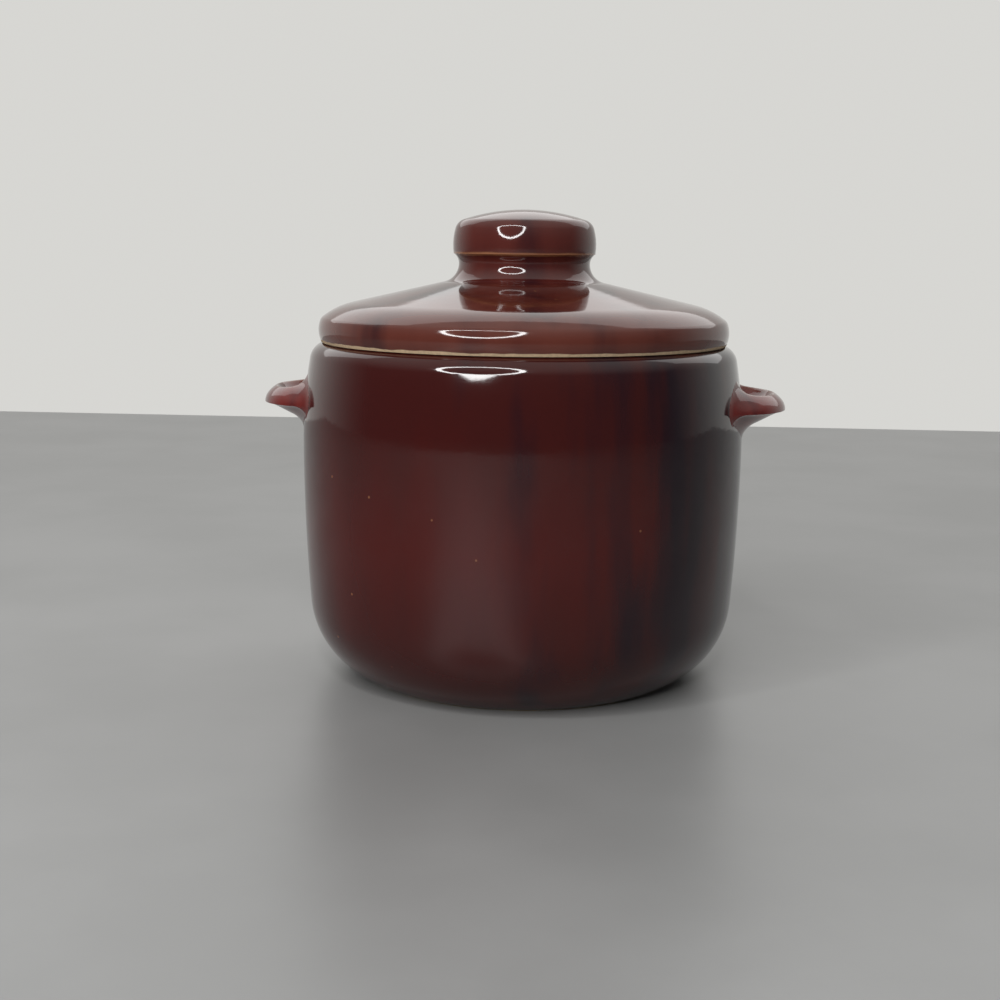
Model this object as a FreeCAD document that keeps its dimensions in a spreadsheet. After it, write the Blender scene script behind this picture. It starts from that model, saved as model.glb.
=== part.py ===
"""Stoneware bean pot with a loose lid: a barrel-shaped pot with two dished lug handles,
and a domed lid with a mushroom knob.

Frame: +Z up, origin at the centre of the foot on the table, handles along +X and -X.
Lengths are millimetres, angles are degrees.
"""
import FreeCAD, Part
import math
import os

import Sketcher
from FreeCAD import Vector

# Driving dimensions, in the order of the sheet: alias, value, what it is.
DIMENSIONS = (
    ("foot_inset", 23.0, "how far the foot's outer edge lies inside the belly"),
    ("foot_width", 7.0, "width of that ring"),
    ("foot_recess", 1.5, "depth of the hollow inside the ring"),
    ("floor_thickness", 7.5, "clay between that hollow and the inside floor"),
    ("heel_round", 33.0, "radius of the heel, from the foot up to the wall"),
    ("belly_radius", 83.0, "largest outer radius of the pot"),
    ("belly_height", 88.0, "height of the largest radius"),
    ("lower_barrel", 810.0, "curvature radius of the wall below the belly"),
    ("upper_barrel", 188.0, "curvature radius of the wall above the belly"),
    ("shoulder_round", 7.0, "radius that turns the wall over to the rim"),
    ("rim_height", 126.0, "height of the flat rim that carries the lid"),
    ("wall", 6.5, "wall thickness of the pot"),
    ("inner_heel_round", 25.0, "radius between inside floor and inside wall"),
    ("inner_shoulder_round", 9.0, "radius that turns the inside wall to the mouth"),
    ("mouth_inset", 14.0, "how far the mouth lies inside the belly, on the radius"),
    ("mouth_round", 1.2, "round on the mouth's upper edge"),
    ("lip_depth", 8.0, "height of the upright part of the mouth"),
    ("lid_inset", 6.0, "how far the lid's largest radius lies inside the belly"),
    ("lid_edge_rise", 4.4, "height of the largest radius above the rim"),
    ("lid_edge_round", 10.0, "curvature radius of the lid's outer edge"),
    ("lid_corner_round", 3.0, "radius between the lid's edge and its top"),
    ("lid_shoulder_round", 28.0, "curvature radius of the top beside the edge"),
    ("lid_shoulder_inset", 12.5, "how far inside the lid's edge that curve meets the cone"),
    ("lid_shoulder_rise", 14.44, "height of that meeting above the rim"),
    ("lid_slope", 13.0, "slope of the lid's conical top"),
    ("lid_thickness", 6.5, "thickness of the lid under its cone"),
    ("flange_depth", 7.0, "how far the lid reaches down into the mouth"),
    ("flange_thickness", 5.5, "thickness of that flange"),
    ("flange_clearance", 1.2, "gap between flange and mouth, on the radius"),
    ("neck_radius", 24.6, "smallest radius of the knob"),
    ("cove_round", 7.0, "radius of the cove between lid and knob"),
    ("undercut_round", 4.3, "radius of the groove under the cap"),
    ("cap_overhang", 2.2, "how far the cap reaches out past the neck"),
    ("cap_side_rise", 13.6, "height of that radius above the knob's foot"),
    ("cap_side_round", 23.0, "curvature radius of the cap's side"),
    ("cap_corner_round", 5.0, "radius between the cap's side and its crown"),
    ("crown_round", 72.0, "curvature radius of the crown"),
    ("knob_height", 26.8, "height of the knob above its foot"),
    ("knob_wall", 7.1, "clay between the neck and the hollow inside it"),
    ("knob_top_thickness", 8.0, "clay above that hollow"),
    ("hollow_round", 6.0, "radius at the top of that hollow"),
    ("lug_inset", 7.0, "how far the middle of a lug lies inside the belly"),
    ("lug_length", 22.8, "half length of a lug along the radius"),
    ("lug_half_width", 28.0, "half width of a lug along the wall"),
    ("lug_half_height", 10.2, "half height of a lug"),
    ("lug_drop", 23.3, "how far the middle of the lugs lies below the rim"),
    ("dish_offset", 8.0, "how far out the dish lies from the middle of a lug"),
    ("dish_rise", 8.5, "how far above the middle of a lug the dish lies"),
    ("dish_length", 10.5, "half length of the dish along the radius"),
    ("dish_half_width", 18.0, "half width of the dish along the wall"),
    ("dish_depth", 8.0, "half height of the dish"),
    ("lug_rim_round", 1.6, "round on the rim of a lug"),
)

FULL_TURN = 360.0
OVERSHOOT = 2.0

# What follows from the belly and the rim, as sheet formulas.
FOOT_RADIUS = "dims.belly_radius - dims.foot_inset"
MOUTH_RADIUS = "dims.belly_radius - dims.mouth_inset"
LID_RADIUS = "dims.belly_radius - dims.lid_inset"
LID_SHOULDER_RADIUS = f"{LID_RADIUS} - dims.lid_shoulder_inset"
LUG_HEIGHT = "dims.rim_height - dims.lug_drop"
KNOB_FOOT_RADIUS = "dims.neck_radius + dims.cove_round * (1 - sin(dims.lid_slope * 1 deg))"
KNOB_FOOT_HEIGHT = (
    f"dims.rim_height + dims.lid_shoulder_rise + ({LID_SHOULDER_RADIUS} - ({KNOB_FOOT_RADIUS}))"
    " * tan(dims.lid_slope * 1 deg)"
)
KNOB_HOLLOW_RADIUS = "dims.neck_radius - dims.knob_wall"


def fill_sheet(doc):
    """Put the driving dimensions into the sheet and return it."""
    sheet = doc.addObject("Spreadsheet::Sheet", "dims")
    for row, (alias, value, note) in enumerate(DIMENSIONS, start=1):
        sheet.set(f"A{row}", alias)
        sheet.set(f"B{row}", str(value))
        sheet.setAlias(f"B{row}", alias)
        sheet.set(f"C{row}", note)
    doc.recompute()
    return sheet


def circles_meet(first, first_radius, second, second_radius, side):
    """Return where two circles cross, on the left (side 1) or right (side -1) of the centres' line."""
    reach = second - first
    distance = reach.Length
    along = (first_radius**2 - second_radius**2 + distance**2) / (2 * distance)
    across = math.sqrt(first_radius**2 - along**2)
    unit = reach / distance
    left = Vector(-unit.y, unit.x, 0)
    return first + unit * along + left * (side * across)


def touch_point(centre, radius, toward):
    """Return the point of a circle that lies in the direction of another point."""
    return centre + (toward - centre).normalize() * radius


class Outline:
    """A closed sketch outline of lines and arcs, drawn in order and then dimensioned."""

    def __init__(self, body, name, role):
        self.sketch = body.newObject("Sketcher::SketchObject", name)
        plane = next(p for p in body.Origin.OriginFeatures if p.Role == role)
        self.sketch.AttachmentSupport = (plane, [""])
        self.sketch.MapMode = "FlatFace"
        self.pieces = []
        self.here = None

    def start(self, x, y):
        self.here = Vector(x, y, 0)

    def line(self, x, y):
        """Draw a line to a point and return its place in the outline."""
        end = Vector(x, y, 0)
        index = self.sketch.addGeometry(Part.LineSegment(self.here, end), False)
        self.here = end
        self.pieces.append((index, 1, 2))
        return index

    def arc(self, centre, end):
        """Draw the shorter arc about a centre to a point and return its place in the outline."""
        spoke = self.here - centre
        other = end - centre
        begin = math.atan2(spoke.y, spoke.x)
        finish = math.atan2(other.y, other.x)
        turn = (finish - begin) % math.tau
        anticlockwise = turn < math.pi
        if not anticlockwise:
            begin, finish = finish, begin
        circle = Part.Circle(centre, Vector(0, 0, 1), spoke.Length)
        index = self.sketch.addGeometry(Part.ArcOfCircle(circle, begin, finish), False)
        self.here = end
        self.pieces.append((index, 1, 2) if anticlockwise else (index, 2, 1))
        return index

    def close(self, smooth):
        """Join each piece to the next; the names in smooth are pieces that start tangent."""
        for place, (index, _, last) in enumerate(self.pieces):
            following, first, _ = self.pieces[(place + 1) % len(self.pieces)]
            kind = "Tangent" if following in smooth else "Coincident"
            self.sketch.addConstraint(Sketcher.Constraint(kind, index, last, following, first))

    def ends(self, index):
        """Return the sketch's point numbers of the piece's first and last end."""
        return next((first, last) for piece, first, last in self.pieces if piece == index)

    def bind(self, constraint, expression):
        number = self.sketch.addConstraint(constraint)
        self.sketch.setExpression(f"Constraints[{number}]", expression)

    def set_x(self, index, point, value, expression):
        self.bind(Sketcher.Constraint("DistanceX", -1, 1, index, point, value), expression)

    def set_y(self, index, point, value, expression):
        self.bind(Sketcher.Constraint("DistanceY", -1, 1, index, point, value), expression)

    def set_radius(self, index, value, expression):
        self.bind(Sketcher.Constraint("Radius", index, value), expression)

    def on_axis(self, index, point, axis):
        """Keep a point on the sketch's horizontal (-1) or vertical (-2) axis."""
        self.sketch.addConstraint(Sketcher.Constraint("PointOnObject", index, point, axis))

    def level(self, *lines):
        for index in lines:
            self.sketch.addConstraint(Sketcher.Constraint("Horizontal", index))

    def upright(self, *lines):
        for index in lines:
            self.sketch.addConstraint(Sketcher.Constraint("Vertical", index))


def envelope_outline(body, name, size):
    """Draw half of the pot's outside, solid up to the rim, from the foot's hollow round to the axis."""
    foot_radius = size.belly_radius - size.foot_inset
    foot_inner = foot_radius - size.foot_width
    belly = Vector(size.belly_radius, size.belly_height, 0)
    lower_centre = belly - Vector(size.lower_barrel, 0, 0)
    upper_centre = belly - Vector(size.upper_barrel, 0, 0)
    foot = Vector(foot_radius, 0, 0)
    heel_centre = circles_meet(
        lower_centre, size.lower_barrel - size.heel_round, foot, size.heel_round, 1
    )
    heel_top = touch_point(lower_centre, size.lower_barrel, heel_centre)
    round_height = size.rim_height - size.shoulder_round
    round_reach = math.sqrt(
        (size.upper_barrel - size.shoulder_round) ** 2 - (round_height - size.belly_height) ** 2
    )
    round_centre = Vector(upper_centre.x + round_reach, round_height, 0)
    shoulder = touch_point(upper_centre, size.upper_barrel, round_centre)

    outline = Outline(body, name, "XZ_Plane")
    outline.start(0, size.foot_recess)
    hollow = outline.line(foot_inner, size.foot_recess)
    step = outline.line(foot_inner, 0)
    ring = outline.line(foot_radius, 0)
    heel = outline.arc(heel_centre, heel_top)
    lower = outline.arc(lower_centre, belly)
    upper = outline.arc(upper_centre, shoulder)
    rounding = outline.arc(round_centre, Vector(round_centre.x, size.rim_height, 0))
    rim = outline.line(0, size.rim_height)
    axis = outline.line(0, size.foot_recess)
    outline.close(smooth=(lower, upper, rounding, rim))
    outline.level(hollow, ring, rim)
    outline.upright(step, axis)
    outline.on_axis(hollow, 1, -2)
    outline.set_y(hollow, 1, size.foot_recess, "dims.foot_recess")
    outline.set_x(step, 1, foot_inner, f"{FOOT_RADIUS} - dims.foot_width")
    outline.on_axis(ring, 1, -1)
    outline.set_x(ring, 2, foot_radius, FOOT_RADIUS)
    outline.set_radius(heel, size.heel_round, "dims.heel_round")
    outline.set_radius(lower, size.lower_barrel, "dims.lower_barrel")
    outline.set_y(lower, 3, size.belly_height, "dims.belly_height")
    lower_end = outline.ends(lower)[1]
    outline.set_x(lower, lower_end, size.belly_radius, "dims.belly_radius")
    outline.set_y(lower, lower_end, size.belly_height, "dims.belly_height")
    outline.set_radius(upper, size.upper_barrel, "dims.upper_barrel")
    outline.set_radius(rounding, size.shoulder_round, "dims.shoulder_round")
    outline.set_y(rim, 1, size.rim_height, "dims.rim_height")
    return outline.sketch


def cavity_outline(body, name, size):
    """Draw half of the pot's inside, from the floor round to the mouth and out above the rim."""
    floor_height = size.foot_recess + size.floor_thickness
    side = Vector(size.belly_radius - size.wall, size.belly_height, 0)
    lower_radius = size.lower_barrel - size.wall
    upper_radius = size.upper_barrel - size.wall
    lower_centre = side - Vector(lower_radius, 0, 0)
    upper_centre = side - Vector(upper_radius, 0, 0)
    heel_height = floor_height + size.inner_heel_round
    heel_reach = math.sqrt(
        (lower_radius - size.inner_heel_round) ** 2 - (heel_height - size.belly_height) ** 2
    )
    heel_centre = Vector(lower_centre.x + heel_reach, heel_height, 0)
    heel_top = touch_point(lower_centre, lower_radius, heel_centre)
    mouth_radius = size.belly_radius - size.mouth_inset
    throat = Vector(mouth_radius, size.rim_height - size.lip_depth, 0)
    shoulder_centre = circles_meet(
        upper_centre, upper_radius - size.inner_shoulder_round, throat, size.inner_shoulder_round, -1
    )
    shoulder = touch_point(upper_centre, upper_radius, shoulder_centre)
    edge_radius = mouth_radius + size.mouth_round
    edge_centre = Vector(edge_radius, size.rim_height - size.mouth_round, 0)

    outline = Outline(body, name, "XZ_Plane")
    outline.start(0, floor_height)
    floor = outline.line(heel_centre.x, floor_height)
    heel = outline.arc(heel_centre, heel_top)
    lower = outline.arc(lower_centre, side)
    upper = outline.arc(upper_centre, shoulder)
    turn = outline.arc(shoulder_centre, throat)
    mouth = outline.line(mouth_radius, edge_centre.y)
    edge = outline.arc(edge_centre, Vector(edge_radius, size.rim_height, 0))
    clear = outline.line(edge_radius, size.rim_height + OVERSHOOT)
    top = outline.line(0, size.rim_height + OVERSHOOT)
    axis = outline.line(0, floor_height)
    outline.close(smooth=(heel, lower, upper, turn, edge))
    outline.level(floor, top)
    outline.upright(mouth, clear, axis)
    outline.on_axis(floor, 1, -2)
    outline.set_y(floor, 1, floor_height, "dims.foot_recess + dims.floor_thickness")
    outline.set_radius(heel, size.inner_heel_round, "dims.inner_heel_round")
    outline.set_radius(lower, lower_radius, "dims.lower_barrel - dims.wall")
    outline.set_y(lower, 3, size.belly_height, "dims.belly_height")
    lower_end = outline.ends(lower)[1]
    outline.set_x(lower, lower_end, side.x, "dims.belly_radius - dims.wall")
    outline.set_y(lower, lower_end, side.y, "dims.belly_height")
    outline.set_radius(upper, upper_radius, "dims.upper_barrel - dims.wall")
    outline.set_radius(turn, size.inner_shoulder_round, "dims.inner_shoulder_round")
    outline.set_x(mouth, 1, throat.x, MOUTH_RADIUS)
    outline.set_y(mouth, 1, throat.y, "dims.rim_height - dims.lip_depth")
    outline.set_radius(edge, size.mouth_round, "dims.mouth_round")
    outline.set_x(clear, 1, edge_radius, f"{MOUTH_RADIUS} + dims.mouth_round")
    outline.set_y(clear, 1, size.rim_height, "dims.rim_height")
    outline.set_y(clear, 2, size.rim_height + OVERSHOOT, f"dims.rim_height + {OVERSHOOT}")
    return outline.sketch


def lid_shoulder(size):
    """Return where the lid's rounded shoulder meets its cone."""
    radius = size.belly_radius - size.lid_inset - size.lid_shoulder_inset
    return Vector(radius, size.rim_height + size.lid_shoulder_rise, 0)


def knob_foot(size):
    """Return the outer corner where the knob's foot stands on the lid's cone."""
    slope = math.radians(size.lid_slope)
    radius = size.neck_radius + size.cove_round * (1 - math.sin(slope))
    cone_end = lid_shoulder(size)
    return cone_end + Vector(-1, math.tan(slope), 0) * (cone_end.x - radius)


def lid_outline(body, name, size):
    """Draw half of the lid's section: land, cone, edge, seat and the flange that goes in the mouth."""
    slope = math.radians(size.lid_slope)
    foot = knob_foot(size)
    cone_end = lid_shoulder(size)
    lid_radius = size.belly_radius - size.lid_inset
    inward = Vector(-math.sin(slope), -math.cos(slope), 0)
    dome_centre = cone_end + inward * size.lid_shoulder_round
    edge_height = size.rim_height + size.lid_edge_rise
    edge_centre = Vector(lid_radius - size.lid_edge_round, edge_height, 0)
    corner_centre = circles_meet(
        dome_centre, size.lid_shoulder_round - size.lid_corner_round,
        edge_centre, size.lid_edge_round - size.lid_corner_round, -1,
    )
    corner_start = touch_point(dome_centre, size.lid_shoulder_round, corner_centre)
    corner_end = touch_point(edge_centre, size.lid_edge_round, corner_centre)
    seat_reach = math.sqrt(size.lid_edge_round**2 - size.lid_edge_rise**2)
    seat_end = Vector(edge_centre.x + seat_reach, size.rim_height, 0)
    flange_outer = size.belly_radius - size.mouth_inset - size.flange_clearance
    flange_inner = flange_outer - size.flange_thickness
    flange_end = size.rim_height - size.flange_depth
    hole = size.neck_radius - size.knob_wall
    under_drop = size.lid_thickness / math.cos(slope)
    under_rise = (foot.x - hole) * math.tan(slope)
    under_top = foot.y + under_rise - under_drop
    under_end = under_top - (flange_inner - hole) * math.tan(slope)

    outline = Outline(body, name, "XZ_Plane")
    outline.start(hole, foot.y)
    land = outline.line(foot.x, foot.y)
    cone = outline.line(cone_end.x, cone_end.y)
    dome = outline.arc(dome_centre, corner_start)
    corner = outline.arc(corner_centre, corner_end)
    edge = outline.arc(edge_centre, seat_end)
    seat = outline.line(flange_outer, size.rim_height)
    flange = outline.line(flange_outer, flange_end)
    bottom = outline.line(flange_inner, flange_end)
    inside = outline.line(flange_inner, under_end)
    under = outline.line(hole, under_top)
    bore = outline.line(hole, foot.y)
    outline.close(smooth=(dome, corner, edge))
    outline.level(land, seat, bottom)
    outline.upright(flange, inside, bore)
    outline.set_x(land, 1, hole, KNOB_HOLLOW_RADIUS)
    outline.set_y(land, 1, foot.y, KNOB_FOOT_HEIGHT)
    outline.set_x(land, 2, foot.x, KNOB_FOOT_RADIUS)
    outline.set_x(cone, 2, cone_end.x, LID_SHOULDER_RADIUS)
    outline.set_y(cone, 2, cone_end.y, "dims.rim_height + dims.lid_shoulder_rise")
    outline.set_radius(dome, size.lid_shoulder_round, "dims.lid_shoulder_round")
    outline.set_radius(corner, size.lid_corner_round, "dims.lid_corner_round")
    outline.set_radius(edge, size.lid_edge_round, "dims.lid_edge_round")
    outline.set_x(edge, 3, edge_centre.x, f"{LID_RADIUS} - dims.lid_edge_round")
    outline.set_y(edge, 3, edge_centre.y, "dims.rim_height + dims.lid_edge_rise")
    outline.set_y(seat, 1, size.rim_height, "dims.rim_height")
    outline.set_x(flange, 1, flange_outer, f"{MOUTH_RADIUS} - dims.flange_clearance")
    outline.set_y(flange, 2, flange_end, "dims.rim_height - dims.flange_depth")
    outline.set_x(
        inside, 1, flange_inner,
        f"{MOUTH_RADIUS} - dims.flange_clearance - dims.flange_thickness",
    )
    outline.sketch.addConstraint(Sketcher.Constraint("Parallel", under, cone))
    outline.set_y(
        under, 2, under_top,
        f"{KNOB_FOOT_HEIGHT} + ({KNOB_FOOT_RADIUS} - ({KNOB_HOLLOW_RADIUS}))"
        " * tan(dims.lid_slope * 1 deg) - dims.lid_thickness / cos(dims.lid_slope * 1 deg)",
    )
    return outline.sketch


def knob_outline(body, name, size):
    """Draw half of the knob's section: foot, cove, groove, cap and the hollow under it."""
    slope = math.radians(size.lid_slope)
    foot = knob_foot(size)
    cove_radius = size.neck_radius + size.cove_round
    cove_centre = Vector(cove_radius, foot.y + size.cove_round * math.cos(slope), 0)
    neck = Vector(size.neck_radius, cove_centre.y, 0)
    groove_centre = neck + Vector(size.undercut_round, 0, 0)
    side_height = foot.y + size.cap_side_rise
    side_radius = size.neck_radius + size.cap_overhang - size.cap_side_round
    side_centre = Vector(side_radius, side_height, 0)
    cap_edge = circles_meet(groove_centre, size.undercut_round, side_centre, size.cap_side_round, -1)
    top = foot.y + size.knob_height
    crown_centre = Vector(0, top - size.crown_round, 0)
    corner_centre = circles_meet(
        side_centre, size.cap_side_round - size.cap_corner_round,
        crown_centre, size.crown_round - size.cap_corner_round, 1,
    )
    corner_start = touch_point(side_centre, size.cap_side_round, corner_centre)
    corner_end = touch_point(crown_centre, size.crown_round, corner_centre)
    hollow_top = top - size.knob_top_thickness
    hollow_radius = size.neck_radius - size.knob_wall
    hollow_flat = hollow_radius - size.hollow_round
    hollow_side = hollow_top - size.hollow_round

    outline = Outline(body, name, "XZ_Plane")
    outline.start(hollow_radius, foot.y)
    base = outline.line(foot.x, foot.y)
    cove = outline.arc(cove_centre, neck)
    groove = outline.arc(groove_centre, cap_edge)
    side = outline.arc(side_centre, corner_start)
    corner = outline.arc(corner_centre, corner_end)
    crown = outline.arc(crown_centre, Vector(0, top, 0))
    axis = outline.line(0, hollow_top)
    roof = outline.line(hollow_flat, hollow_top)
    bend = outline.arc(Vector(hollow_flat, hollow_side, 0), Vector(hollow_radius, hollow_side, 0))
    bore = outline.line(hollow_radius, foot.y)
    outline.close(smooth=(groove, corner, crown, bend, bore))
    outline.level(base, roof)
    outline.upright(axis, bore)
    outline.set_x(base, 1, hollow_radius, KNOB_HOLLOW_RADIUS)
    outline.set_y(base, 1, foot.y, KNOB_FOOT_HEIGHT)
    outline.set_x(base, 2, foot.x, KNOB_FOOT_RADIUS)
    outline.set_radius(cove, size.cove_round, "dims.cove_round")
    outline.set_x(cove, 3, cove_radius, "dims.neck_radius + dims.cove_round")
    neck_end = outline.ends(cove)[1]
    outline.sketch.addConstraint(Sketcher.Constraint("Horizontal", cove, 3, cove, neck_end))
    outline.set_radius(groove, size.undercut_round, "dims.undercut_round")
    outline.set_radius(side, size.cap_side_round, "dims.cap_side_round")
    outline.set_x(
        side, 3, side_centre.x, "dims.neck_radius + dims.cap_overhang - dims.cap_side_round"
    )
    outline.set_y(side, 3, side_centre.y, f"{KNOB_FOOT_HEIGHT} + dims.cap_side_rise")
    outline.set_radius(corner, size.cap_corner_round, "dims.cap_corner_round")
    outline.set_radius(crown, size.crown_round, "dims.crown_round")
    outline.on_axis(crown, 3, -2)
    outline.on_axis(axis, 1, -2)
    outline.set_y(axis, 1, top, f"{KNOB_FOOT_HEIGHT} + dims.knob_height")
    outline.set_y(
        roof, 1, hollow_top, f"{KNOB_FOOT_HEIGHT} + dims.knob_height - dims.knob_top_thickness"
    )
    outline.set_radius(bend, size.hollow_round, "dims.hollow_round")
    return outline.sketch


def make_turned_part(doc, name, outline, size):
    body = doc.addObject("PartDesign::Body", name)
    sketch = outline(body, f"{name}_outline", size)
    turned = body.newObject("PartDesign::Revolution", f"{name}_form")
    turned.Profile = (sketch, [""])
    turned.ReferenceAxis = (sketch, ["V_Axis"])
    turned.Angle = FULL_TURN
    return body


def cut(doc, name, base, tool):
    """Take one form away from another."""
    result = doc.addObject("Part::Cut", name)
    result.Base = base
    result.Tool = tool
    result.Refine = False
    return result


def ellipsoid(body, kind, name, sizes, place):
    """Add or cut an ellipsoid: its half lengths along X, Y and Z, and its middle, as formulas."""
    feature = body.newObject(kind, name)
    along, across, up = sizes
    feature.setExpression("Radius2", along)
    feature.setExpression("Radius3", across)
    feature.setExpression("Radius1", up)
    out, height = place
    feature.setExpression("Placement.Base.x", out)
    feature.setExpression("Placement.Base.z", height)
    return feature


def longest_edge(shape):
    """Return the name of a shape's longest edge."""
    lengths = [edge.Length for edge in shape.Edges]
    return f"Edge{lengths.index(max(lengths)) + 1}"


def make_lug_form(doc):
    """Press a dish into a lens of clay and round its rim, on the +X side of the pot."""
    body = doc.addObject("PartDesign::Body", "lug_form")
    middle = "dims.belly_radius - dims.lug_inset"
    ellipsoid(
        body, "PartDesign::AdditiveEllipsoid", "lug_blank",
        ("dims.lug_length", "dims.lug_half_width", "dims.lug_half_height"),
        (middle, LUG_HEIGHT),
    )
    doc.recompute()
    dish = ellipsoid(
        body, "PartDesign::SubtractiveEllipsoid", "lug_dish",
        ("dims.dish_length", "dims.dish_half_width", "dims.dish_depth"),
        (f"{middle} + dims.dish_offset", f"{LUG_HEIGHT} + dims.dish_rise"),
    )
    doc.recompute()
    rim = body.newObject("PartDesign::Fillet", "lug_rim")
    rim.Base = (dish, [longest_edge(dish.Shape)])
    rim.setExpression("Radius", "dims.lug_rim_round")
    doc.recompute()
    return body


def mirrored(doc, name, source):
    """Repeat a form on the other side of the pot."""
    copy = doc.addObject("Part::Mirroring", name)
    copy.Source = source
    copy.Normal = Vector(1, 0, 0)
    return copy


def check_and_export(doc, parts):
    """Stop on any failed object, then write each sub-part's shape to its own file."""
    for item in doc.Objects:
        if {"Invalid", "Error"} & set(item.State):
            raise RuntimeError(f"{item.Name} failed: {item.State}")
        if item.isDerivedFrom("Sketcher::SketchObject") and not item.FullyConstrained:
            raise RuntimeError(f"{item.Name} is not fully constrained")
    for part in parts:
        if part.Shape.isNull() or not part.Shape.isValid():
            raise RuntimeError(f"{part.Label} has no valid shape")
    os.makedirs("parts", exist_ok=True)
    for part in parts:
        print(f"{part.Label}: {part.Shape.Volume / 1000:.1f} cm3, {len(part.Shape.Solids)} solid")
        part.Shape.exportStep(f"parts/{part.Label}.step")


def main():
    doc = FreeCAD.newDocument("bean_pot")
    size = fill_sheet(doc)
    envelope = make_turned_part(doc, "pot_envelope", envelope_outline, size)
    cavity = make_turned_part(doc, "pot_cavity", cavity_outline, size)
    handle_right = cut(doc, "handle_right", make_lug_form(doc), envelope)
    parts = [
        cut(doc, "pot_body", envelope, cavity),
        make_turned_part(doc, "lid_shell", lid_outline, size),
        make_turned_part(doc, "lid_knob", knob_outline, size),
        handle_right,
        mirrored(doc, "handle_left", handle_right),
    ]
    doc.recompute()
    check_and_export(doc, parts)


main()
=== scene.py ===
# %% [markdown]
# This scene dresses a stoneware bean pot: a round pot with two small ear-like lugs, and a loose
# lid with a mushroom knob. The real pot is turned clay, dipped in one dark red-brown glaze and
# fired glossy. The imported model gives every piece's place and size, so the scene starts by
# loading it, and every new piece is made in the same frame, in metres.

import math

import bmesh
import bpy
from mathutils import Matrix, Vector


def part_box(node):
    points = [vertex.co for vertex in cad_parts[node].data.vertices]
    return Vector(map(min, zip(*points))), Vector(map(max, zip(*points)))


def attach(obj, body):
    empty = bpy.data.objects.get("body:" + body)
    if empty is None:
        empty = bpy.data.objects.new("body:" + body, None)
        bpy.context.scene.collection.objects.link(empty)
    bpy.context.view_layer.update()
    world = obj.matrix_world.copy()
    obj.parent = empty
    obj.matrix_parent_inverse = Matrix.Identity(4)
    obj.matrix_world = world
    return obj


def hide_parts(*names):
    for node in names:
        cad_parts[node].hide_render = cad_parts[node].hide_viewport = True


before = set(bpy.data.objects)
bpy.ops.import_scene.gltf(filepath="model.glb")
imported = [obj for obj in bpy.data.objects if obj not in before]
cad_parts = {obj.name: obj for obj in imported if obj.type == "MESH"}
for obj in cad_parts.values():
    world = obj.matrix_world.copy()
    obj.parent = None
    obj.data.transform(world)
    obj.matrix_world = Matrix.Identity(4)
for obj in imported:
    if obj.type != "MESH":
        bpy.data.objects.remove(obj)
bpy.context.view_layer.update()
MM = 0.001
belly_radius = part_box("pot_body")[1].y / MM
rim_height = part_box("pot_body")[1].z / MM
lid_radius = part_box("lid_shell")[1].y / MM
flange_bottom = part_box("lid_shell")[0].z / MM
knob_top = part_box("lid_knob")[1].z / MM
print("belly", belly_radius, "rim", rim_height, "lid", lid_radius, "knob top", knob_top)

# %% [markdown]
# The camera comes before the pieces, because it decides which details show. A picture taken
# close to a pot has strong perspective, so the camera stands little more than half a metre away,
# a bit above the lid's edge, and looks down slightly. A Track To constraint could aim it, but
# three named turns are easier to match to a picture: the pan about the upright axis, the tilt,
# and the roll about the line of sight.

# %% Camera
CAMERA_DISTANCE = 0.571
CAMERA_HEIGHT = 0.1635
CAMERA_AROUND = math.radians(4.0)
CAMERA_PAN = math.radians(0.826)
CAMERA_TILT = math.radians(9.777)
CAMERA_ROLL = math.radians(0.6)
CAMERA_LENS = 54.1
FILM_WIDTH = 36.0


def make_camera():
    """Stand the camera in front of the pot and make it the scene's own."""
    data = bpy.data.cameras.new("camera")
    data.lens = CAMERA_LENS
    data.sensor_width = FILM_WIDTH
    camera = bpy.data.objects.new("camera", data)
    bpy.context.scene.collection.objects.link(camera)
    pan = Matrix.Rotation(CAMERA_AROUND + CAMERA_PAN, 4, "Z")
    tilt = Matrix.Rotation(math.pi / 2 - CAMERA_TILT, 4, "X")
    roll = Matrix.Rotation(CAMERA_ROLL, 4, "Z")
    side = CAMERA_DISTANCE * math.sin(CAMERA_AROUND)
    back = -CAMERA_DISTANCE * math.cos(CAMERA_AROUND)
    camera.matrix_world = Matrix.Translation((side, back, CAMERA_HEIGHT)) @ pan @ tilt @ roll
    bpy.context.scene.camera = camera
    return camera


camera = make_camera()
print("camera stands at", camera.matrix_world.translation)

# %% [markdown]
# A pot made on a wheel is one outline turned round an axis, so that is how the mesh is made too:
# a bmesh with a chain of edges in the XZ plane, then one full spin. The chain is drawn the way a
# ruler and compass would draw it. A straight stretch is one vertex extruded to the next point,
# and a round stretch is a vertex spun about the centre of its arc.

# %% Drawing an outline
ARC_STEP = 4.0
ARC_TURN = math.radians(5)
TURN_STEPS = 256
CORNER = math.radians(32)
DOUBLES = 0.002 * MM


def at(point):
    """Put a point of an outline, radius and height in millimetres, into the XZ plane."""
    return Vector((point[0] * MM, 0, point[1] * MM))


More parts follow.
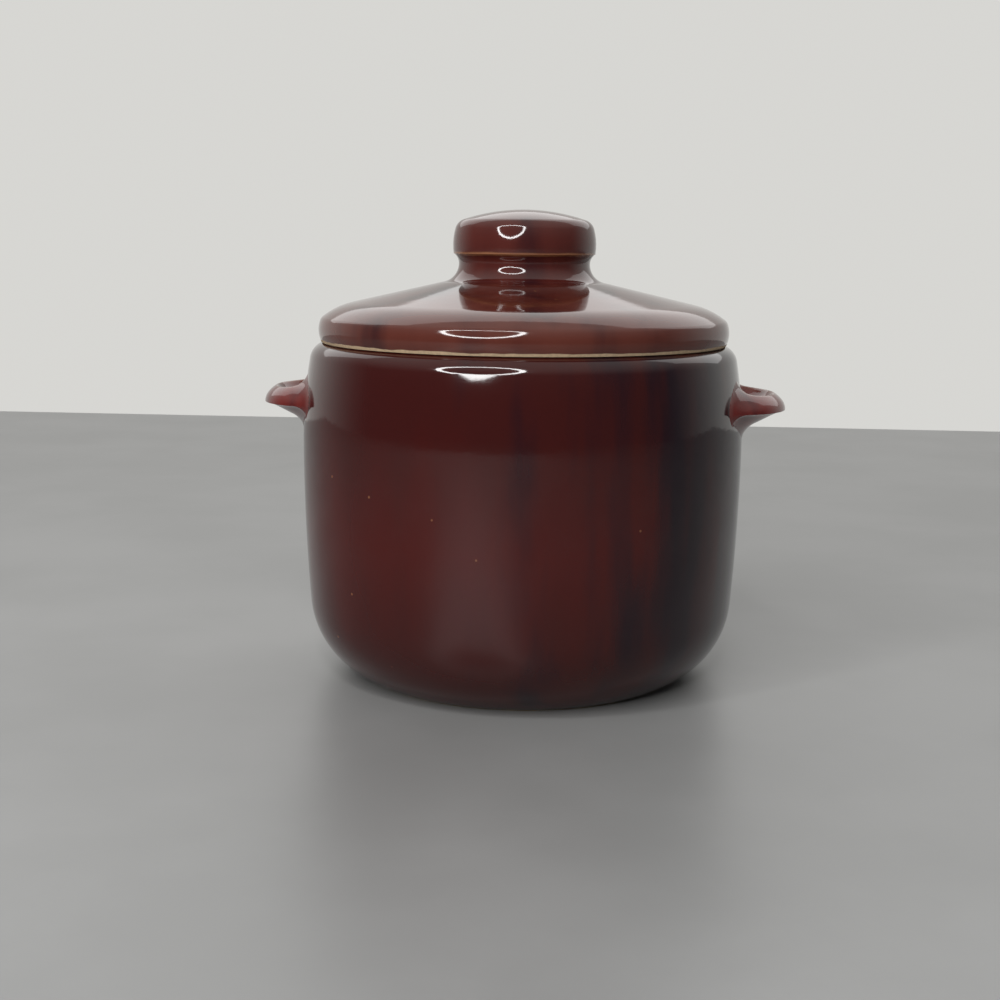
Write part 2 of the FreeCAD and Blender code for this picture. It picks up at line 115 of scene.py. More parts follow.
class Outline:
    """A chain of edges in the XZ plane, drawn from point to point."""

    def __init__(self, start):
        self.mesh = bmesh.new()
        self.last = self.mesh.verts.new(at(start))

    def line(self, end, pieces=1):
        """Extrude the last point along a straight line, in one or several pieces."""
        step = (at(end) - self.last.co) / pieces
        for _ in range(pieces):
            made = bmesh.ops.extrude_vert_indiv(self.mesh, verts=[self.last])["verts"]
            bmesh.ops.translate(self.mesh, verts=made, vec=step)
            self.last = made[0]

    def arc(self, centre, end):
        """Spin the last point about a centre, the short way, until it faces the end point."""
        begin = self.last.co - at(centre)
        finish = at(end) - at(centre)
        turn = math.atan2(begin.z, begin.x) - math.atan2(finish.z, finish.x)
        turn = (turn + math.pi) % math.tau - math.pi
        steps = math.ceil(abs(turn) * max(1 / ARC_TURN, begin.length / (ARC_STEP * MM)))
        spun = bmesh.ops.spin(
            self.mesh, geom=[self.last], cent=at(centre), axis=(0, 1, 0), angle=turn,
            steps=steps, use_merge=False, use_duplicate=False,
        )
        self.last = next(g for g in spun["geom_last"] if isinstance(g, bmesh.types.BMVert))

    def turn(self):
        """Spin the whole chain once round the upright axis and return the mesh."""
        bmesh.ops.spin(
            self.mesh, geom=self.mesh.verts[:] + self.mesh.edges[:], cent=(0, 0, 0),
            axis=(0, 0, 1), angle=math.tau, steps=TURN_STEPS, use_merge=True, use_duplicate=False,
        )
        return self.mesh


def meet(first, first_radius, second, second_radius, side):
    """Return where two circles cross, left (1) or right (-1) of the line between their centres."""
    reach = Vector(second) - Vector(first)
    along = (first_radius**2 - second_radius**2 + reach.length_squared) / (2 * reach.length)
    across = math.sqrt(first_radius**2 - along**2)
    unit = reach.normalized()
    return Vector(first) + unit * along + Vector((-unit.y, unit.x)) * side * across


def toward(centre, radius, point):
    """Return the point of a circle that faces another point."""
    return Vector(centre) + (Vector(point) - Vector(centre)).normalized() * radius


def finish_piece(mesh, name):
    """Merge doubles, turn faces outward, shade smooth between corners and link the new piece."""
    bmesh.ops.remove_doubles(mesh, verts=mesh.verts, dist=DOUBLES)
    bmesh.ops.recalc_face_normals(mesh, faces=mesh.faces)
    for face in mesh.faces:
        face.smooth = True
    for edge in mesh.edges:
        edge.smooth = len(edge.link_faces) != 2 or edge.calc_face_angle() < CORNER
    data = bpy.data.meshes.new(name)
    mesh.to_mesh(data)
    mesh.free()
    piece = bpy.data.objects.new(name, data)
    bpy.context.scene.collection.objects.link(piece)
    print(name, "has", len(data.polygons), "faces")
    return piece


# %% [markdown]
# The pot itself is a barrel with a rounded heel and an inturned shoulder. Outside, five curves run
# into each other without a corner: heel, lower wall, upper wall, shoulder round and rim. Inside,
# the same wall is drawn again a wall's thickness further in. A Solidify modifier could make the
# inside from the outside, but the mouth is upright and the floor is flat, so drawing it is truer.

# %% Pot body
BELLY_HEIGHT = 88.0
LOWER_BARREL = 810.0
UPPER_BARREL = 188.0
HEEL_ROUND = 33.0
SHOULDER_ROUND = 7.0
WALL = 6.5
FLOOR_TOP = 9.0
INNER_HEEL_ROUND = 25.0
INNER_SHOULDER_ROUND = 9.0
MOUTH_ROUND = 1.2
LIP_DEPTH = 8.0
FOOT_WIDTH = 7.0
FOOT_RECESS = 1.5
FOOT_INSET = 23.0
MOUTH_INSET = 14.0
foot_radius = belly_radius - FOOT_INSET
mouth_radius = belly_radius - MOUTH_INSET


def make_pot():
    """Turn the pot's whole section, outside and inside, into one closed mesh."""
    belly = (belly_radius, BELLY_HEIGHT)
    lower = (belly_radius - LOWER_BARREL, BELLY_HEIGHT)
    upper = (belly_radius - UPPER_BARREL, BELLY_HEIGHT)
    heel = meet(lower, LOWER_BARREL - HEEL_ROUND, (foot_radius, 0), HEEL_ROUND, 1)
    turn_height = rim_height - SHOULDER_ROUND
    reach = math.sqrt((UPPER_BARREL - SHOULDER_ROUND)**2 - (turn_height - BELLY_HEIGHT)**2)
    shoulder = (upper[0] + reach, turn_height)
    inner_heel_height = FLOOR_TOP + INNER_HEEL_ROUND
    drop = BELLY_HEIGHT - inner_heel_height
    inner_reach = math.sqrt((LOWER_BARREL - WALL - INNER_HEEL_ROUND)**2 - drop**2)
    inner_heel = (lower[0] + inner_reach, inner_heel_height)
    throat = (mouth_radius, rim_height - LIP_DEPTH)
    inner_shoulder = meet(
        upper, UPPER_BARREL - WALL - INNER_SHOULDER_ROUND, throat, INNER_SHOULDER_ROUND, -1
    )
    edge = (mouth_radius + MOUTH_ROUND, rim_height - MOUTH_ROUND)

    outline = Outline((0, FOOT_RECESS))
    outline.line((foot_radius - FOOT_WIDTH, FOOT_RECESS), pieces=20)
    outline.line((foot_radius - FOOT_WIDTH, 0))
    outline.line((foot_radius, 0), pieces=3)
    outline.arc(heel, toward(lower, LOWER_BARREL, heel))
    outline.arc(lower, belly)
    outline.arc(upper, toward(upper, UPPER_BARREL, shoulder))
    outline.arc(shoulder, (shoulder[0], rim_height))
    outline.line((edge[0], rim_height), pieces=3)
    outline.arc(edge, (mouth_radius, edge[1]))
    outline.line(throat, pieces=4)
    outline.arc(inner_shoulder, toward(upper, UPPER_BARREL - WALL, inner_shoulder))
    outline.arc(upper, (belly_radius - WALL, BELLY_HEIGHT))
    outline.arc(lower, toward(lower, LOWER_BARREL - WALL, inner_heel))
    outline.arc(inner_heel, (inner_heel[0], FLOOR_TOP))
    outline.line((0, FLOOR_TOP), pieces=20)
    return outline.turn()


pot = finish_piece(make_pot(), "pot")

# %% [markdown]
# The lid is a shallow cone with a rounded shoulder and a thick upright edge. Its flat seat lies on
# the rim, and a flange inside keeps it from sliding off. The section is drawn from the land under
# the knob, down the outside, round the edge, and back up the inside.

# %% Lid shell
LID_SLOPE = math.radians(13.0)
LID_EDGE_RISE = 4.4
LID_EDGE_ROUND = 10.0
LID_CORNER_ROUND = 3.0
LID_SHOULDER_ROUND = 28.0
LID_SHOULDER_INSET = 12.5
LID_SHOULDER_RISE = 14.44
LID_THICKNESS = 6.5
FLANGE_CLEARANCE = 1.2
FLANGE_THICKNESS = 5.5
NECK = 24.6
KNOB_WALL = 7.1
COVE_ROUND = 7.0
cone_end = Vector((lid_radius - LID_SHOULDER_INSET, rim_height + LID_SHOULDER_RISE))
cone_rise = Vector((-1, math.tan(LID_SLOPE)))
knob_foot = cone_end + cone_rise * (cone_end.x - NECK - COVE_ROUND * (1 - math.sin(LID_SLOPE)))
hollow_radius = NECK - KNOB_WALL


def make_lid():
    """Turn the lid's section, without the knob, into one closed mesh."""
    dome = cone_end - Vector((math.sin(LID_SLOPE), math.cos(LID_SLOPE))) * LID_SHOULDER_ROUND
    edge = (lid_radius - LID_EDGE_ROUND, rim_height + LID_EDGE_RISE)
    corner = meet(
        dome, LID_SHOULDER_ROUND - LID_CORNER_ROUND, edge, LID_EDGE_ROUND - LID_CORNER_ROUND, -1
    )
    seat_radius = edge[0] + math.sqrt(LID_EDGE_ROUND**2 - LID_EDGE_RISE**2)
    flange_outer = mouth_radius - FLANGE_CLEARANCE
    flange_inner = flange_outer - FLANGE_THICKNESS
    under_foot = knob_foot - Vector((0, LID_THICKNESS / math.cos(LID_SLOPE)))
    under_top = under_foot + cone_rise * (knob_foot.x - hollow_radius)
    under_end = under_foot + cone_rise * (knob_foot.x - flange_inner)

    outline = Outline((hollow_radius, knob_foot.y))
    outline.line(knob_foot, pieces=3)
    outline.line(cone_end, pieces=24)
    outline.arc(dome, toward(dome, LID_SHOULDER_ROUND, corner))
    outline.arc(corner, toward(edge, LID_EDGE_ROUND, corner))
    outline.arc(edge, (seat_radius, rim_height))
    outline.line((flange_outer, rim_height), pieces=4)
    outline.line((flange_outer, flange_bottom), pieces=4)
    outline.line((flange_inner, flange_bottom), pieces=3)
    outline.line(under_end, pieces=6)
    outline.line(under_top, pieces=20)
    outline.line((hollow_radius, knob_foot.y), pieces=2)
    return outline.turn()


lid = finish_piece(make_lid(), "lid")

# %% [markdown]
# The knob is a short neck that swells into a thick cap with a domed crown. A cove runs from the
# lid's cone up into the neck, a groove undercuts the cap, and the inside is hollow so that it
# fires evenly. It is turned like the rest.

# %% Knob
UNDERCUT_ROUND = 4.3
CAP_OVERHANG = 2.2
CAP_SIDE_RISE = 13.6
CAP_SIDE_ROUND = 23.0
CAP_CORNER_ROUND = 5.0
CROWN_ROUND = 72.0
KNOB_TOP_THICKNESS = 8.0
HOLLOW_ROUND = 6.0


def make_knob():
    """Turn the knob's section, from its foot over the crown and back through the hollow."""
    cove = (NECK + COVE_ROUND, knob_foot.y + COVE_ROUND * math.cos(LID_SLOPE))
    groove = (NECK + UNDERCUT_ROUND, cove[1])
    side = (NECK + CAP_OVERHANG - CAP_SIDE_ROUND, knob_foot.y + CAP_SIDE_RISE)
    crown = (0, knob_top - CROWN_ROUND)
    corner = meet(
        side, CAP_SIDE_ROUND - CAP_CORNER_ROUND, crown, CROWN_ROUND - CAP_CORNER_ROUND, 1
    )
    hollow_top = knob_top - KNOB_TOP_THICKNESS
    bend = (hollow_radius - HOLLOW_ROUND, hollow_top - HOLLOW_ROUND)

    outline = Outline((hollow_radius, knob_foot.y))
    outline.line(knob_foot, pieces=3)
    outline.arc(cove, (NECK, cove[1]))
    outline.arc(groove, meet(groove, UNDERCUT_ROUND, side, CAP_SIDE_ROUND, -1))
    outline.arc(side, toward(side, CAP_SIDE_ROUND, corner))
    outline.arc(corner, toward(crown, CROWN_ROUND, corner))
    outline.arc(crown, (0, knob_top))
    outline.line((0, hollow_top))
    outline.line((bend[0], hollow_top), pieces=6)
    outline.arc(bend, (hollow_radius, bend[1]))
    outline.line((hollow_radius, knob_foot.y), pieces=8)
    return outline.turn()


knob = finish_piece(make_knob(), "knob")

# %% [markdown]
# Each lug is a lens of clay pressed with a thumb: an ear whose top is dished and whose root is
# smoothed into the wall. It starts as a sphere with its poles along X, stretched to a lens, so
# that its rings lie round the lug like the rings of a tree. The dish and the root are then made
# by moving those rings, as a thumb does, and the underside is drawn in to a keel, as a lug pulled
# out of the clay has. A Boolean modifier would cut the dish as well, but it leaves long thin
# faces that a glossy glaze shows at once.

# %% Lug form
LUG = (22.8, 28.0, 10.2)
LUG_INSET = 7.0
LUG_DROP = 23.3
DISH = (10.5, 18.0, 8.0)
DISH_OFFSET = 8.0
DISH_RISE = 8.5
lug_middle = Vector((belly_radius - LUG_INSET, 0, rim_height - LUG_DROP)) * MM
dish_middle = lug_middle + Vector((DISH_OFFSET, 0, DISH_RISE)) * MM
LUG_AROUND = 220
LUG_RINGS = 150
ROOT_COVE = 5.0
ROOT_DEPTH = 3.0
ROOT_SINK = 0.15
KEEL_SHARE = 0.85
RIM_PASSES = 8
RIM_REACH = 0.3
RIM_EASE = 0.5


def wall_radius(height):
    """Return the outer radius of the pot's upper wall at a height, in metres."""
    rise = height / MM - BELLY_HEIGHT
    barrel = UPPER_BARREL if rise > 0 else LOWER_BARREL
    return (belly_radius - barrel + math.sqrt(barrel**2 - rise**2)) * MM


def lens_share(point, middle, half_lengths):
    """Return 1 on an ellipsoid's surface, less inside it and more outside."""
    away = point - middle
    return sum((part / (half * MM))**2 for part, half in zip(away, half_lengths))


def press_dish(vert):
    """Push a point of the lens that lies inside the dish straight down onto the dish."""
    away = vert.co - dish_middle
    spread = (away.x / (DISH[0] * MM))**2 + (away.y / (DISH[1] * MM))**2
    if spread < 1:
        vert.co.z = min(vert.co.z, dish_middle.z - DISH[2] * MM * math.sqrt(1 - spread))


def draw_keel(vert):
    """Thin the lower half of the lens toward its rim, so that the underside slopes straight."""
    depth = lug_middle.z - vert.co.z
    share = depth / (LUG[2] * MM)
    vert.co.z = lug_middle.z - depth * KEEL_SHARE * share**2


def flare_root(vert, normal):
    """Spread the lug into a cove where it meets the wall, and keep the rest inside the clay."""
    gap = math.hypot(vert.co.x, vert.co.y) - wall_radius(vert.co.z)
    if gap >= ROOT_COVE * MM:
        return
    rise = max(-ROOT_DEPTH * MM, gap)
    radial = Vector((vert.co.x, vert.co.y, 0)).normalized()
    away = normal - radial * normal.dot(radial)
    across = 1 - min(1.0, max(0.0, rise + ROOT_SINK * MM) / (ROOT_COVE * MM))
    vert.co += away * ROOT_COVE * MM * (1 - math.sqrt(1 - across**2))
    angle = math.atan2(vert.co.y, vert.co.x)
    radius = wall_radius(vert.co.z) + rise
    vert.co.x = radius * math.cos(angle)
    vert.co.y = radius * math.sin(angle)


def make_lug():
    """Shape the lug on the +X side: lens, dish, rounded rim and a root that flares on the wall."""
    mesh = bmesh.new()
    bmesh.ops.create_uvsphere(mesh, u_segments=LUG_AROUND, v_segments=LUG_RINGS, radius=1.0)
    on_side = Matrix.Rotation(math.pi / 2, 3, "Y")
    bmesh.ops.rotate(mesh, verts=mesh.verts, cent=(0, 0, 0), matrix=on_side)
    bmesh.ops.scale(mesh, verts=mesh.verts, vec=Vector(LUG) * MM)
    bmesh.ops.translate(mesh, verts=mesh.verts, vec=lug_middle)
    for vert in mesh.verts:
        if vert.co.z > lug_middle.z:
            press_dish(vert)
    thin = mesh.verts.layers.float.new("thin_glaze")
    for vert in mesh.verts:
        off_rim = abs(lens_share(vert.co, lug_middle, LUG) - 1)
        off_rim += abs(lens_share(vert.co, dish_middle, DISH) - 1)
        vert[thin] = max(0.0, 1 - off_rim / RIM_REACH)
    for vert in mesh.verts:
        if vert.co.z < lug_middle.z:
            draw_keel(vert)
    outer = [v for v in mesh.verts if v.co.x > lug_middle.x]
    for _ in range(RIM_PASSES):
        bmesh.ops.smooth_vert(
            mesh, verts=outer, factor=RIM_EASE, use_axis_x=True, use_axis_y=True, use_axis_z=True
        )
    mesh.normal_update()
    normals = [v.normal.copy() for v in mesh.verts]
    for vert, normal in zip(mesh.verts, normals):
        flare_root(vert, normal)
    return mesh


lug_right = finish_piece(make_lug(), "lug_right")
left_mesh = make_lug()
bmesh.ops.scale(left_mesh, verts=left_mesh.verts, vec=(-1, 1, 1))
lug_left = finish_piece(left_mesh, "lug_left")

# %% [markdown]
# A finish is a tree of small nodes, and written out node by node it fills a page. A few short
# functions come first: one adds a node, one fills a socket, and the others return the result of
# a common step, such as a smooth ramp or a noise pattern. A node group could share these steps
# as well, but functions keep the recipe readable as text.

# %% Node helpers
SPECK_RARITY = 0.8


def add(tree, kind, **settings):
    """Add a node and set its properties by name."""
    node = tree.nodes.new(kind)
    for name, value in settings.items():
        setattr(node, name, value)
    return node


def plug(tree, socket, value):
    """Link a socket if it is given an output, and set it if it is given a value."""
    if isinstance(value, bpy.types.NodeSocket):
        tree.links.new(value, socket)
    else:
        socket.default_value = value


def maths(tree, operation, first, second=0.5, clamp=False):
    """Return the result of one Math node."""
    node = add(tree, "ShaderNodeMath", operation=operation, use_clamp=clamp)
    plug(tree, node.inputs[0], first)
    plug(tree, node.inputs[1], second)
    return node.outputs[0]


def ramp(tree, value, low, high):
    """Return 0 below low and 1 above high, with a smooth step between them."""
    node = add(tree, "ShaderNodeMapRange", interpolation_type="SMOOTHSTEP")
    plug(tree, node.inputs["Value"], value)
    plug(tree, node.inputs["From Min"], low)
    plug(tree, node.inputs["From Max"], high)
    return node.outputs["Result"]


def blend(tree, share, first, second):
    """Mix two colours by a share."""
    node = add(tree, "ShaderNodeMix", data_type="RGBA")
    plug(tree, node.inputs["Factor"], share)
    plug(tree, node.inputs["A"], first)
    plug(tree, node.inputs["B"], second)
    return node.outputs["Result"]


def noise_of(tree, where, scale, detail=3.0, stretch=(1, 1, 1)):
    """Return a noise pattern with about scale features a metre, drawn out along one axis."""
    mapping = add(tree, "ShaderNodeMapping")
    plug(tree, mapping.inputs["Vector"], where)
    mapping.inputs["Scale"].default_value = stretch
    node = add(tree, "ShaderNodeTexNoise")
    plug(tree, node.inputs["Vector"], mapping.outputs["Vector"])
    node.inputs["Scale"].default_value = scale
    node.inputs["Detail"].default_value = detail
    return node.outputs["Fac"]


def specks_of(tree, where, scale, size):
    """Return 1 in small round specks, scale to the metre, and 0 elsewhere."""
    node = add(tree, "ShaderNodeTexVoronoi")
    plug(tree, node.inputs["Vector"], where)
    node.inputs["Scale"].default_value = scale
    pick = add(tree, "ShaderNodeSeparateColor")
    plug(tree, pick.inputs["Color"], node.outputs["Color"])
    near = maths(tree, "LESS_THAN", node.outputs["Distance"], size)
    chosen = maths(tree, "GREATER_THAN", pick.outputs["Red"], SPECK_RARITY)
    return maths(tree, "MULTIPLY", near, chosen)


# %% [markdown]
# Every surface carries the same dark glaze, so one recipe makes all the finishes and only a few
# values differ. The glaze is a coloured glass: very smooth, redder where it is thin over the
# clay, nearly black where it ran down and pooled. On the pot that dark also carries painted
# shade, deepening toward the pot's right side, away from the ring lamp. It turns tan on sharp
# edges, and is wiped off where clay would stick to clay, on the lid's seat and under the foot. All
# patterns read Object
# coordinates, so they stay with the clay.

# %% Glaze
DEEP_RED = (0.068, 0.0045, 0.0030, 1)
LUG_RED = (0.180, 0.026, 0.022, 1)
LID_RED = (0.120, 0.030, 0.020, 1)
KNOB_RED = (0.100, 0.020, 0.015, 1)
BROWN_RED = (0.046, 0.0055, 0.0045, 1)
# the dark of pooled glaze, which is also used as painted shade on the pot's right side
POOL_AND_SHADE_DARK = (0.012, 0.0040, 0.0085, 1)
THIN_TAN = (0.30, 0.125, 0.055, 1)
CLAY = (0.62, 0.46, 0.29, 1)
CLAY_DARK = (0.496, 0.368, 0.232, 1)
STREAKS = {"scale": 60.0, "detail": 4.0, "stretch": (1, 1, 0.12)}
STREAK_SHARE = 0.7
RED_FADE = 90.0
BROWNING = (0.25, 0.85)
RUNS = {"scale": 55.0, "detail": 3.0, "stretch": (1, 1, 0.16)}
# painted shade: how strongly the pot's glaze darkens toward its right side, away from the ring lamp
SHADE_TO_RIGHT = 3.2
POOL_AND_SHADE_RAMP = (0.48, 0.80)
SPECKS = {"scale": 130.0, "size": 0.06}
SPECK_THINNING = 0.6
RIM_THINNING = 0.35
TAN_LINE = (0.1, 0.9)
WAVER = {"scale": 90.0}
WAVER_HEIGHT = 1.2
WIPED_BLUR = 0.15
GRAIN = {"scale": 900.0, "detail": 4.0}
GRAIN_SPREAD = (0.3, 0.7)
GLAZE_ROUGHNESS = 0.07
GLOSS_PATCHES = {"scale": 140.0}
GLOSS_SPREAD = 0.05
CLAY_ROUGHNESS = 0.8
GLAZE_IOR = 1.5
PEEL = {"scale": 260.0, "detail": 2.0}
PITS = {"scale": 260.0, "size": 0.09}
PIT_DEPTH = -0.6
GRAIN_DEPTH = 2.0
PEEL_STRENGTH = 0.12
PEEL_DEPTH = 0.15


def glaze_colour(tree, where, across, height, red, reddest, shade_to_right):
    """Return the glaze's colour: red near one height, browner away from it, dark in the runs, and
    darker toward one side as painted shade.
    """
    streaks = noise_of(tree, where, **STREAKS)
    runs = noise_of(tree, where, **RUNS)
    off_red = maths(tree, "ABSOLUTE", maths(tree, "SUBTRACT", height, reddest))
    dull = maths(tree, "DIVIDE", off_red, RED_FADE)
    thick = maths(tree, "ADD", dull, maths(tree, "MULTIPLY", streaks, STREAK_SHARE))
    colour = blend(tree, ramp(tree, thick, *BROWNING), red, BROWN_RED)
    # painted shade: the dark grows with X toward the right side, on top of the real runs
    pool_and_shade = maths(tree, "ADD", runs, maths(tree, "MULTIPLY", across, shade_to_right))
    return blend(tree, ramp(tree, pool_and_shade, *POOL_AND_SHADE_RAMP), colour, POOL_AND_SHADE_DARK)


def thin_share(tree, where, edge_height, tan_heights):
    """Return where the glaze is thin: in specks, along turned edges and on the rim of a lug."""
    thin = maths(tree, "MULTIPLY", specks_of(tree, where, **SPECKS), SPECK_THINNING)
    for tan_height in tan_heights:
        off_line = maths(tree, "ABSOLUTE", maths(tree, "SUBTRACT", edge_height, tan_height))
        line = maths(tree, "SUBTRACT", 1.0, ramp(tree, off_line, *TAN_LINE))
        thin = maths(tree, "MAXIMUM", thin, line)
    rim = add(tree, "ShaderNodeAttribute", attribute_name="thin_glaze").outputs["Fac"]
    return maths(tree, "MAXIMUM", thin, maths(tree, "MULTIPLY", rim, RIM_THINNING))


def surface_roughness(tree, where, bare):
    """Return a glossy roughness that varies slightly on the glaze, and a dull one on bare clay."""
    unevenness = maths(tree, "MULTIPLY", noise_of(tree, where, **GLOSS_PATCHES), GLOSS_SPREAD)
    rough = add(tree, "ShaderNodeMix", data_type="FLOAT")
    plug(tree, rough.inputs["Factor"], bare)
    plug(tree, rough.inputs["A"], maths(tree, "ADD", unevenness, GLAZE_ROUGHNESS - GLOSS_SPREAD / 2))
    plug(tree, rough.inputs["B"], CLAY_ROUGHNESS)
    return rough.outputs["Result"]


def surface_relief(tree, where, grain, bare):
    """Return the normal of the glaze's faint ripple and pits, and of the grain of bare clay."""
    pits = maths(tree, "MULTIPLY", specks_of(tree, where, **PITS), PIT_DEPTH)
    peel = maths(tree, "ADD", noise_of(tree, where, **PEEL), pits)
    bare_grain = maths(tree, "MULTIPLY", maths(tree, "MULTIPLY", grain, bare), GRAIN_DEPTH)
    bump = add(tree, "ShaderNodeBump")
    bump.inputs["Strength"].default_value = PEEL_STRENGTH
    bump.inputs["Distance"].default_value = PEEL_DEPTH * MM
    plug(tree, bump.inputs["Height"], maths(tree, "ADD", peel, bare_grain))
    return bump.outputs["Normal"]


def make_glaze(name, red, reddest, clay_below, tan_heights=(), shade_to_right=0.0):
    """Make one piece's finish: bare clay below a height, glaze of the given red elsewhere, and any
    painted shade toward its right side.
    """
    material = bpy.data.materials.new(name)
    material.use_nodes = True
    tree = material.node_tree
    shader = tree.nodes["Principled BSDF"]
    where = add(tree, "ShaderNodeTexCoord").outputs["Object"]
    parts = add(tree, "ShaderNodeSeparateXYZ")
    plug(tree, parts.inputs["Vector"], where)
    height = maths(tree, "MULTIPLY", parts.outputs["Z"], 1 / MM)
    waver = maths(tree, "SUBTRACT", noise_of(tree, where, **WAVER), 0.5)
    edge_height = maths(tree, "ADD", height, maths(tree, "MULTIPLY", waver, WAVER_HEIGHT))

    colour = glaze_colour(tree, where, parts.outputs["X"], height, red, reddest, shade_to_right)
    thin = thin_share(tree, where, edge_height, tan_heights)
    colour = blend(tree, thin, colour, THIN_TAN)
    glazed = ramp(tree, edge_height, clay_below - WIPED_BLUR, clay_below + WIPED_BLUR)
    bare = maths(tree, "SUBTRACT", 1.0, glazed)
    grain = noise_of(tree, where, **GRAIN)
    clay = blend(tree, ramp(tree, grain, *GRAIN_SPREAD), CLAY, CLAY_DARK)
    plug(tree, shader.inputs["Base Color"], blend(tree, bare, colour, clay))
    plug(tree, shader.inputs["Roughness"], surface_roughness(tree, where, bare))
    plug(tree, shader.inputs["Normal"], surface_relief(tree, where, grain, bare))
    shader.inputs["IOR"].default_value = GLAZE_IOR
    print(name, "has", len(tree.nodes), "nodes")
    return material


FOOT_LINE = 0.4
LID_LINE = 1.0
NOWHERE = -1000.0
POT_REDDEST = 60.0
LUG_REDDEST = 20.0
LID_REDDEST = 6.0
KNOB_REDDEST = 12.0
CAP_EDGE_RISE = 10.4
cap_edge = knob_foot.y + CAP_EDGE_RISE
# only the pot's finish gets the painted shade toward its right side
pot_finish = make_glaze("pot_glaze", DEEP_RED, POT_REDDEST, FOOT_LINE, shade_to_right=SHADE_TO_RIGHT)
lug_finish = make_glaze("lug_glaze", LUG_RED, rim_height - LUG_REDDEST, NOWHERE)
lid_finish = make_glaze("lid_glaze", LID_RED, rim_height + LID_REDDEST, rim_height + LID_LINE)
knob_finish = make_glaze("knob_glaze", KNOB_RED, knob_top - KNOB_REDDEST, NOWHERE, (cap_edge,))

# %% [markdown]
# Each finished piece now takes the place of its plain solid in the imported model. It rides on the
# body that carries it, so that the lid and its knob rise together, and it takes its finish.
# Parenting one object to another would also move them together, but these calls
# use the bodies that the model was packed with.

# %% Put the pieces on the frame
PIECES = (
    (pot, "pot", "pot_body", "pot_glaze", pot_finish),
    (lug_left, "pot", "handle_left", "handle_glaze", lug_finish),
    (lug_right, "pot", "handle_right", "handle_glaze", lug_finish),
    (lid, "lid", "lid_shell", "lid_glaze", lid_finish),
    (knob, "lid", "lid_knob", "knob_glaze", knob_finish),
)
for piece, body, node, slot, finish in PIECES:
    piece.data.materials.append(finish)
    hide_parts(node)
    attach(piece, body)
    print(piece.name, "rides on", body)

# %% [markdown]
# The pot stands on a plain satin table with a pale wall behind it. The table is one plane with
# its far edge behind the pot. The wall is the world itself, so that camera and mirror rays see
# it in every direction: pale behind the pot and overhead, and dimmer low down in front, where
# a room is darker. A glossy pot shows that difference as the shade on its wall.

# %% Table and wall
TABLE_SIZE = 3.4
TABLE_BACK = 0.80
TABLE_LIGHT = (0.33, 0.33, 0.325, 1)
TABLE_DARK = (0.29, 0.29, 0.285, 1)
TABLE_ROUGHNESS = 0.36
TABLE_PATCHES = {"scale": 9.0, "detail": 6.0}
PATCH_SPREAD = (0.3, 0.7)
WALL_COLOUR = (0.68, 0.675, 0.65, 1)
FRONT_COLOUR = (0.11, 0.105, 0.11, 1)
ROOM_LIGHT = (0.14, 0.14, 0.143, 1)
BEHIND = (-0.2, 0.7)
OVERHEAD = (0.1, 1.0)


def make_table():
    """Lay the table top, with its far edge behind the pot."""
    mesh = bmesh.new()
    bmesh.ops.create_grid(mesh, x_segments=1, y_segments=1, size=TABLE_SIZE / 2)
    bmesh.ops.translate(mesh, verts=mesh.verts, vec=(0, TABLE_BACK - TABLE_SIZE / 2, 0))
    table = finish_piece(mesh, "table")
    material = bpy.data.materials.new("table_top")
    material.use_nodes = True
    tree = material.node_tree
    shader = tree.nodes["Principled BSDF"]
    where = add(tree, "ShaderNodeTexCoord").outputs["Object"]
    patches = ramp(tree, noise_of(tree, where, **TABLE_PATCHES), *PATCH_SPREAD)
    plug(tree, shader.inputs["Base Color"], blend(tree, patches, TABLE_DARK, TABLE_LIGHT))
    shader.inputs["Roughness"].default_value = TABLE_ROUGHNESS
    table.data.materials.append(material)
    return table


def light_room():
    """Give the world the wall's colours for camera and mirror rays, and a soft light elsewhere."""
    world = bpy.data.worlds.new("room")
    bpy.context.scene.world = world
    world.use_nodes = True
    tree = world.node_tree
    background = tree.nodes["Background"]
    way = add(tree, "ShaderNodeSeparateXYZ")
    plug(tree, way.inputs["Vector"], add(tree, "ShaderNodeTexCoord").outputs["Generated"])
    behind = ramp(tree, way.outputs["Y"], *BEHIND)
    overhead = ramp(tree, way.outputs["Z"], *OVERHEAD)
    pale = maths(tree, "MAXIMUM", behind, overhead)
    walls = blend(tree, pale, FRONT_COLOUR, WALL_COLOUR)
    rays = add(tree, "ShaderNodeLightPath")
    seen = maths(tree, "ADD", rays.outputs["Is Camera Ray"], rays.outputs["Is Glossy Ray"], True)
    seen = maths(tree, "ADD", seen, rays.outputs["Is Transmission Ray"], True)
    plug(tree, background.inputs["Color"], blend(tree, seen, ROOM_LIGHT, walls))
    background.inputs["Strength"].default_value = 1.0


table = make_table()
light_room()
print("table reaches", TABLE_BACK, "m behind the pot")

# %% [markdown]
# Two soft lights do the rest. A large ring lamp hangs up in front, a little to the left, and
# gives every round edge its ring-shaped highlight. It is a flat ring of faces with an Emission
# shader, because an area lamp has no hole. A wide soft panel stands high behind the pot and
# shows as the pale sheen on the lid. Neither is in the picture itself.

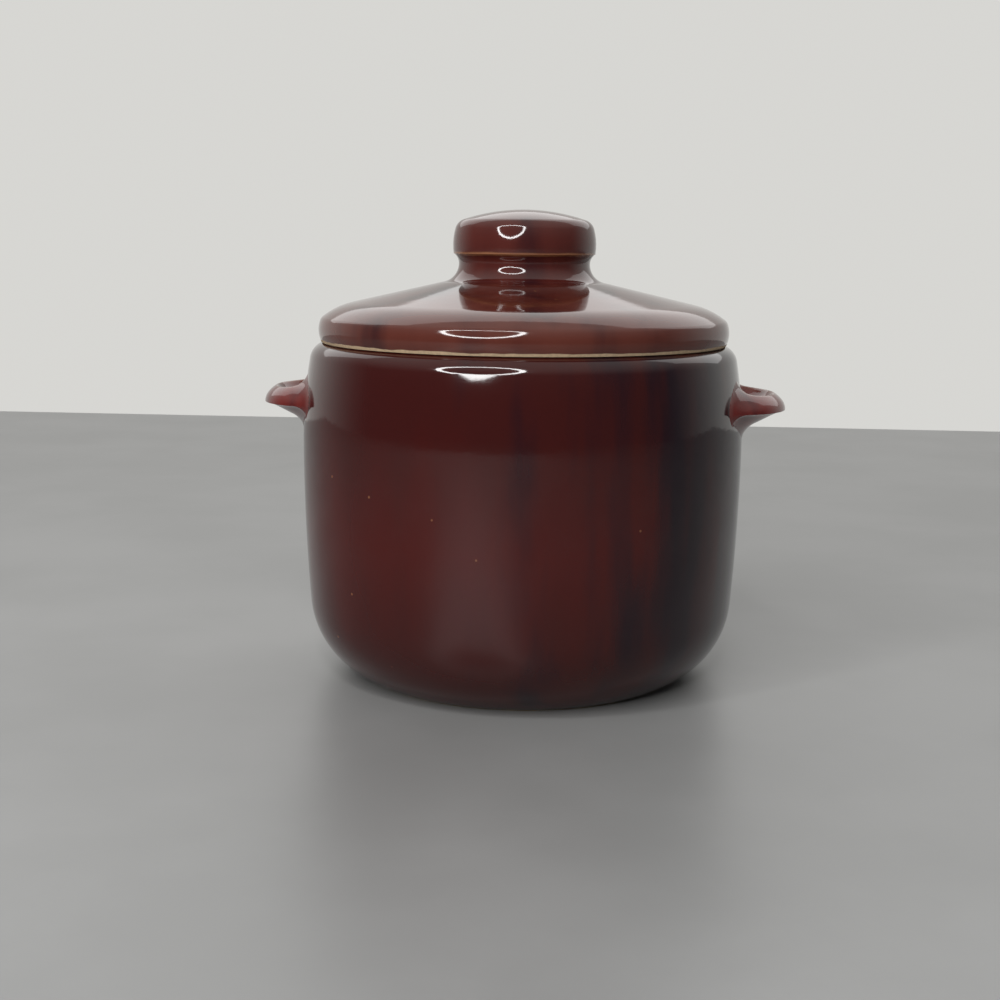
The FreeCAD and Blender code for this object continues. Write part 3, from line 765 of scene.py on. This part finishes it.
# %% Lamps
RING_AROUND = math.radians(-20.0)
RING_UP = math.radians(34.0)
RING_DISTANCE = 1.3
RING_RADIUS = 0.50
RING_BAND = 0.075
RING_STRENGTH = 25.0
RING_STEPS = 96
PANEL_SIZE = (3.6, 1.3)
PANEL_PLACE = (0.0, 1.15, 1.20)
PANEL_POWER = 14.0


def facing_pot(place):
    """Return the placement of a lamp that looks at the pot's lid from a place."""
    aim = Vector((0, 0, rim_height * MM)) - Vector(place)
    return Matrix.Translation(place) @ aim.to_track_quat("-Z", "Y").to_matrix().to_4x4()


def make_ring_lamp():
    """Bridge two circles into a flat glowing ring, up in front of the pot."""
    flat = RING_DISTANCE * math.cos(RING_UP)
    place = (
        flat * math.sin(RING_AROUND), -flat * math.cos(RING_AROUND),
        rim_height * MM + RING_DISTANCE * math.sin(RING_UP),
    )
    mesh = bmesh.new()
    for radius in (RING_RADIUS, RING_RADIUS - RING_BAND):
        bmesh.ops.create_circle(mesh, segments=RING_STEPS, radius=radius)
    bmesh.ops.bridge_loops(mesh, edges=mesh.edges[:])
    bmesh.ops.transform(mesh, matrix=facing_pot(place), verts=mesh.verts)
    ring = finish_piece(mesh, "ring_lamp")
    material = bpy.data.materials.new("ring_glow")
    material.use_nodes = True
    tree = material.node_tree
    glow = add(tree, "ShaderNodeEmission")
    glow.inputs["Strength"].default_value = RING_STRENGTH
    plug(tree, tree.nodes["Material Output"].inputs["Surface"], glow.outputs["Emission"])
    ring.data.materials.append(material)
    return ring


def make_back_panel():
    """Stand a wide soft panel high behind the pot."""
    data = bpy.data.lights.new("back_panel", "AREA")
    data.shape = "RECTANGLE"
    data.size, data.size_y = PANEL_SIZE
    data.energy = PANEL_POWER
    panel = bpy.data.objects.new("back_panel", data)
    bpy.context.scene.collection.objects.link(panel)
    panel.matrix_world = facing_pot(PANEL_PLACE)
    return panel


ring_lamp = make_ring_lamp()
back_panel = make_back_panel()
print(ring_lamp.name, "and", back_panel.name, "light the pot")

# %% [markdown]
# The picture keeps plain colours, so the Standard view is used.

# %% Finish
bpy.context.scene.view_settings.view_transform = "Standard"
